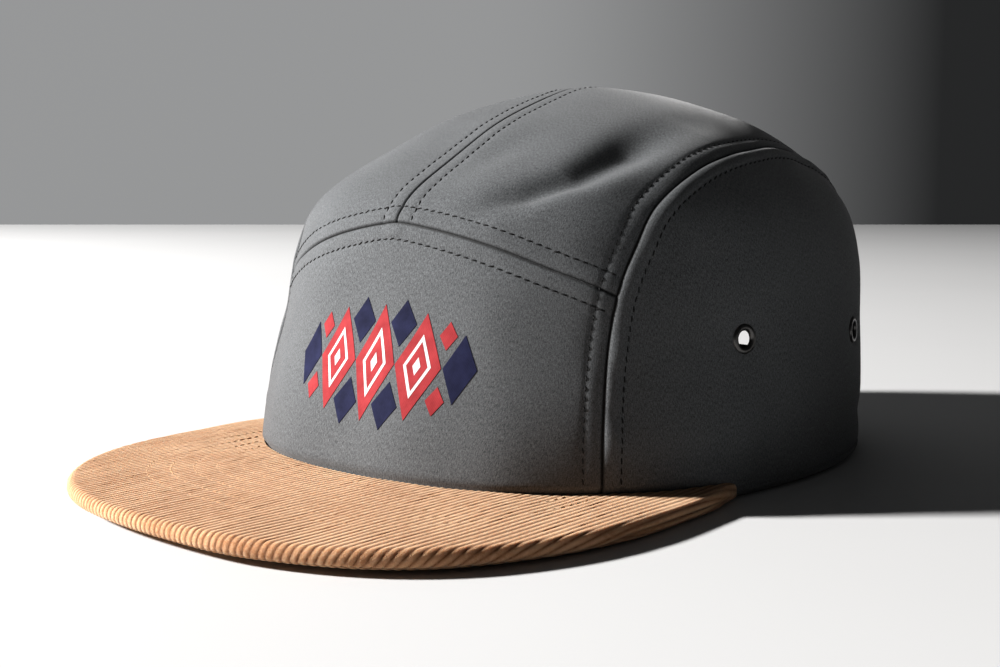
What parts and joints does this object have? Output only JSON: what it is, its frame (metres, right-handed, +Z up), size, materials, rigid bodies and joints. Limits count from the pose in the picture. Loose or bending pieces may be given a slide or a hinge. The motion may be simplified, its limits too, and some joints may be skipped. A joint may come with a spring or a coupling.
{
  "type": "five panel cap",
  "caption": "Flat-brimmed cloth cap with an arched front panel, seamed crown, metal vent eyelets, corduroy brim and a strapped opening at the back, worn as sun cover.",
  "frame": {"origin": "on the surface the cap rests on, under the middle of its bounding box", "axes": "+Z up, the brim points to -Y, the wearer's left is +X"},
  "size_m": [0.1698, 0.2536, 0.1102],
  "materials": {
    "canvas": "matt tight plain weave, mid grey",
    "corduroy": "tan corduroy, soft nap, wales running front to back",
    "lining": "matt cotton twill",
    "webbing": "ribbed cotton webbing",
    "thread": "twisted sewing thread",
    "gunmetal": "polished gunmetal",
    "print_red": "flat screen print ink",
    "print_navy": "flat screen print ink",
    "print_white": "flat screen print ink"
  },
  "bodies": {
    "root": {"front_panel": "canvas", "top_panel_left": "canvas", "top_panel_right": "canvas", "side_panel_left": "canvas", "side_panel_right": "canvas", "brim_top_cover": "corduroy", "brim_under_cover": "corduroy", "sweatband": "lining", "rear_strap": "webbing", "strap_buckle": "gunmetal", "eyelet_left_front": "gunmetal", "eyelet_left_rear": "gunmetal", "eyelet_right_front": "gunmetal", "eyelet_right_rear": "gunmetal"}
  },
  "joints": []
}
